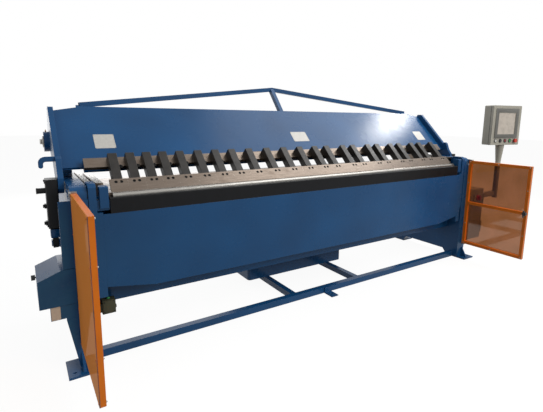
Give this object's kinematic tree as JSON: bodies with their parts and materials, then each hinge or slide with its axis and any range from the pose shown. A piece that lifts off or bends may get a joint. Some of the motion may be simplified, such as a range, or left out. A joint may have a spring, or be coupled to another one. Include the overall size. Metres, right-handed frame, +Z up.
{
  "type": "hydraulic folding machine",
  "caption": "Hydraulic sheet metal folding machine with a hinged clamp beam of separate fingers, a folding beam with a deep apron, side guards and an operator panel",
  "frame": {"origin": "on the floor, at mid-length, in the vertical plane of the bend line", "axes": "+X along the bend line to the operator panel, +Y to the back, +Z up"},
  "size_m": [4.5851, 1.5915, 1.6398],
  "materials": {
    "blue_paint": "semi-gloss blue machine enamel",
    "grey_paint": "grey enamel",
    "black_paint": "satin black enamel",
    "beige_paint": "fine textured powder coat",
    "olive_paint": "satin olive enamel",
    "orange_paint": "orange powder coat",
    "bare_steel": "ground tool steel, oiled",
    "machined_steel": "machined",
    "gear_steel": "cut gear steel, greased",
    "black_steel": "black oxide",
    "finger_steel": "black oxide, worn",
    "bronze": "turned bronze",
    "amber_sheet": "tinted clear polycarbonate",
    "screen_glass": "glossy display glass",
    "black_plastic": "moulded",
    "red_plastic": "moulded",
    "dark_red_plastic": "moulded",
    "green_plastic": "moulded",
    "white_plastic": "moulded"
  },
  "bodies": {
    "frame": {"left_side_frame": "blue_paint", "right_side_frame": "blue_paint", "foot_plates": "blue_paint", "front_floor_rail": "blue_paint", "floor_tubes": "blue_paint", "oil_tank": "blue_paint", "pump_motor": "grey_paint", "valve_manifold": "machined_steel", "lower_beam": "blue_paint", "bed_plate": "bare_steel", "bed_nose_bar": "bare_steel", "fold_cylinders": "black_paint", "rack_guides": "bronze", "drive_bearings": "bronze", "clamp_pivot_pins": "machined_steel", "cylinder_brackets": "blue_paint", "guard_hinges": "machined_steel", "service_cover": "blue_paint", "bend_limit_switch": "olive_paint", "electrical_cabinet": "beige_paint", "pendant_post": "beige_paint"},
    "folding_beam": {"folding_arms": "blue_paint", "folding_bar": "black_steel", "folding_bar_strip": "machined_steel", "apron_plate": "blue_paint", "apron_ribs": "blue_paint", "fold_shafts": "gear_steel"},
    "left_idler": {"left_idler_gear": "gear_steel"},
    "right_idler": {"right_idler_gear": "gear_steel"},
    "left_rack": {"left_drive_rack": "gear_steel"},
    "right_rack": {"right_drive_rack": "gear_steel"},
    "clamp_beam": {"clamp_front_plate": "blue_paint", "clamp_back_channel": "blue_paint", "clamping_rail": "bare_steel", "clamp_end_plates": "blue_paint", "blade_segments": "bare_steel", "fingers": "finger_steel", "truss_left_leg": "blue_paint", "truss_right_leg": "blue_paint", "truss_strut": "blue_paint", "hose_hook": "blue_paint"},
    "left_cylinder": {"left_clamp_cylinder": "black_paint"},
    "right_cylinder": {"right_clamp_cylinder": "black_paint"},
    "left_rod": {"left_clamp_rod": "black_paint"},
    "right_rod": {"right_clamp_rod": "black_paint"},
    "left_guard": {"left_guard_frame": "orange_paint", "left_guard_panel": "amber_sheet"},
    "right_guard": {"right_guard_frame": "orange_paint", "right_guard_panel": "amber_sheet"},
    "latch": {"guard_latch": "black_plastic"},
    "pendant": {"pendant_housing": "beige_paint", "pendant_screen": "screen_glass"},
    "light_button_body": {"light_button": "white_plastic"},
    "open_button_body": {"open_button": "black_plastic"},
    "close_button_body": {"close_button": "dark_red_plastic"},
    "start_button_body": {"start_button": "green_plastic"},
    "emergency_stop_body": {"emergency_stop": "red_plastic"},
    "door": {"cabinet_door": "beige_paint"},
    "switch": {"main_switch": "red_plastic"},
    "knob": {"cover_knob": "black_plastic"}
  },
  "joints": [
    {"name": "fold", "type": "hinge", "parent": "frame", "child": "folding_beam", "pos_m": [0, 0, 0.956], "axis": [-1, 0, 0], "range_deg": [0, 130]},
    {"name": "clamp_swing", "type": "hinge", "parent": "frame", "child": "clamp_beam", "pos_m": [0, 0.65, 1.205], "axis": [1, 0, 0], "range_deg": [-8, 0]},
    {"name": "left_idler_turn", "type": "hinge", "parent": "frame", "child": "left_idler", "pos_m": [-1.725, 0.04, 0.88522], "axis": [-1, 0, 0], "range_deg": [-130, 0]},
    {"name": "left_rack_travel", "type": "slide", "parent": "frame", "child": "left_rack", "axis": [0, 0, 1], "range_m": [0, 0.092]},
    {"name": "left_cylinder_tilt", "type": "hinge", "parent": "frame", "child": "left_rod", "pos_m": [-1.827, 0.205, 0.66], "axis": [1, 0, 0], "range_deg": [0, 3.66]},
    {"name": "left_rod_stroke", "type": "slide", "parent": "left_rod", "child": "left_cylinder", "axis": [0, 0, 1], "range_m": [0, 0.06481]},
    {"name": "right_idler_turn", "type": "hinge", "parent": "frame", "child": "right_idler", "pos_m": [1.725, 0.04, 0.88522], "axis": [-1, 0, 0], "range_deg": [-130, 0]},
    {"name": "right_rack_travel", "type": "slide", "parent": "frame", "child": "right_rack", "axis": [0, 0, 1], "range_m": [0, 0.092]},
    {"name": "right_cylinder_tilt", "type": "hinge", "parent": "frame", "child": "right_rod", "pos_m": [1.827, 0.205, 0.66], "axis": [1, 0, 0], "range_deg": [0, 3.66]},
    {"name": "right_rod_stroke", "type": "slide", "parent": "right_rod", "child": "right_cylinder", "axis": [0, 0, 1], "range_m": [0, 0.06481]},
    {"name": "left_guard_swing", "type": "hinge", "parent": "frame", "child": "left_guard", "pos_m": [-1.748, -0.085, 0.567], "axis": [0, 0, -1], "range_deg": [0, 90]},
    {"name": "right_guard_swing", "type": "hinge", "parent": "frame", "child": "right_guard", "pos_m": [1.748, -0.085, 0.567], "axis": [0, 0, 1], "range_deg": [0, 90]},
    {"name": "latch_turn", "type": "hinge", "parent": "right_guard", "child": "latch", "pos_m": [1.734, -0.6245, 0.5675], "axis": [1, 0, 0], "range_deg": [0, 90]},
    {"name": "pendant_swivel", "type": "hinge", "parent": "frame", "child": "pendant", "pos_m": [2.415, 0.012, 1.117], "axis": [0, 0, 1], "range_deg": [-90, 90]},
    {"name": "door_swing", "type": "hinge", "parent": "frame", "child": "door", "pos_m": [2.174, -0.002, 0.395], "axis": [0, 0, -1], "range_deg": [-110, 0]},
    {"name": "main_switch_turn", "type": "hinge", "parent": "door", "child": "switch", "pos_m": [2.058, -0.008, 0.572], "axis": [0, -1, 0], "range_deg": [0, 90]},
    {"name": "knob_pull", "type": "slide", "parent": "frame", "child": "knob", "axis": [-1, 0, 0], "range_m": [0, 0.008], "stiffness_N_per_m": 400},
    {"name": "light_button_press", "type": "slide", "parent": "pendant", "child": "light_button_body", "axis": [0.2079, 0.9781, 0], "range_m": [0, 0.004], "stiffness_N_per_m": 600},
    {"name": "open_button_press", "type": "slide", "parent": "pendant", "child": "open_button_body", "axis": [0.2079, 0.9781, 0], "range_m": [0, 0.004], "stiffness_N_per_m": 600},
    {"name": "close_button_press", "type": "slide", "parent": "pendant", "child": "close_button_body", "axis": [0.2079, 0.9781, 0], "range_m": [0, 0.004], "stiffness_N_per_m": 600},
    {"name": "start_button_press", "type": "slide", "parent": "pendant", "child": "start_button_body", "axis": [0.2079, 0.9781, 0], "range_m": [0, 0.004], "stiffness_N_per_m": 600},
    {"name": "emergency_stop_press", "type": "slide", "parent": "pendant", "child": "emergency_stop_body", "axis": [0.2079, 0.9781, 0], "range_m": [0, 0.004], "stiffness_N_per_m": 600}
  ],
  "couplings": [
    {"joint": "left_idler_turn", "follows": "fold", "ratio": -1},
    {"joint": "left_rack_travel", "follows": "fold", "m_per_rad": 0.0405},
    {"joint": "left_cylinder_tilt", "follows": "clamp_swing", "ratio": -0.45718},
    {"joint": "left_rod_stroke", "follows": "clamp_swing", "m_per_rad": -0.46419},
    {"joint": "right_idler_turn", "follows": "fold", "ratio": -1},
    {"joint": "right_rack_travel", "follows": "fold", "m_per_rad": 0.0405},
    {"joint": "right_cylinder_tilt", "follows": "clamp_swing", "ratio": -0.45718},
    {"joint": "right_rod_stroke", "follows": "clamp_swing", "m_per_rad": -0.46419}
  ]
}
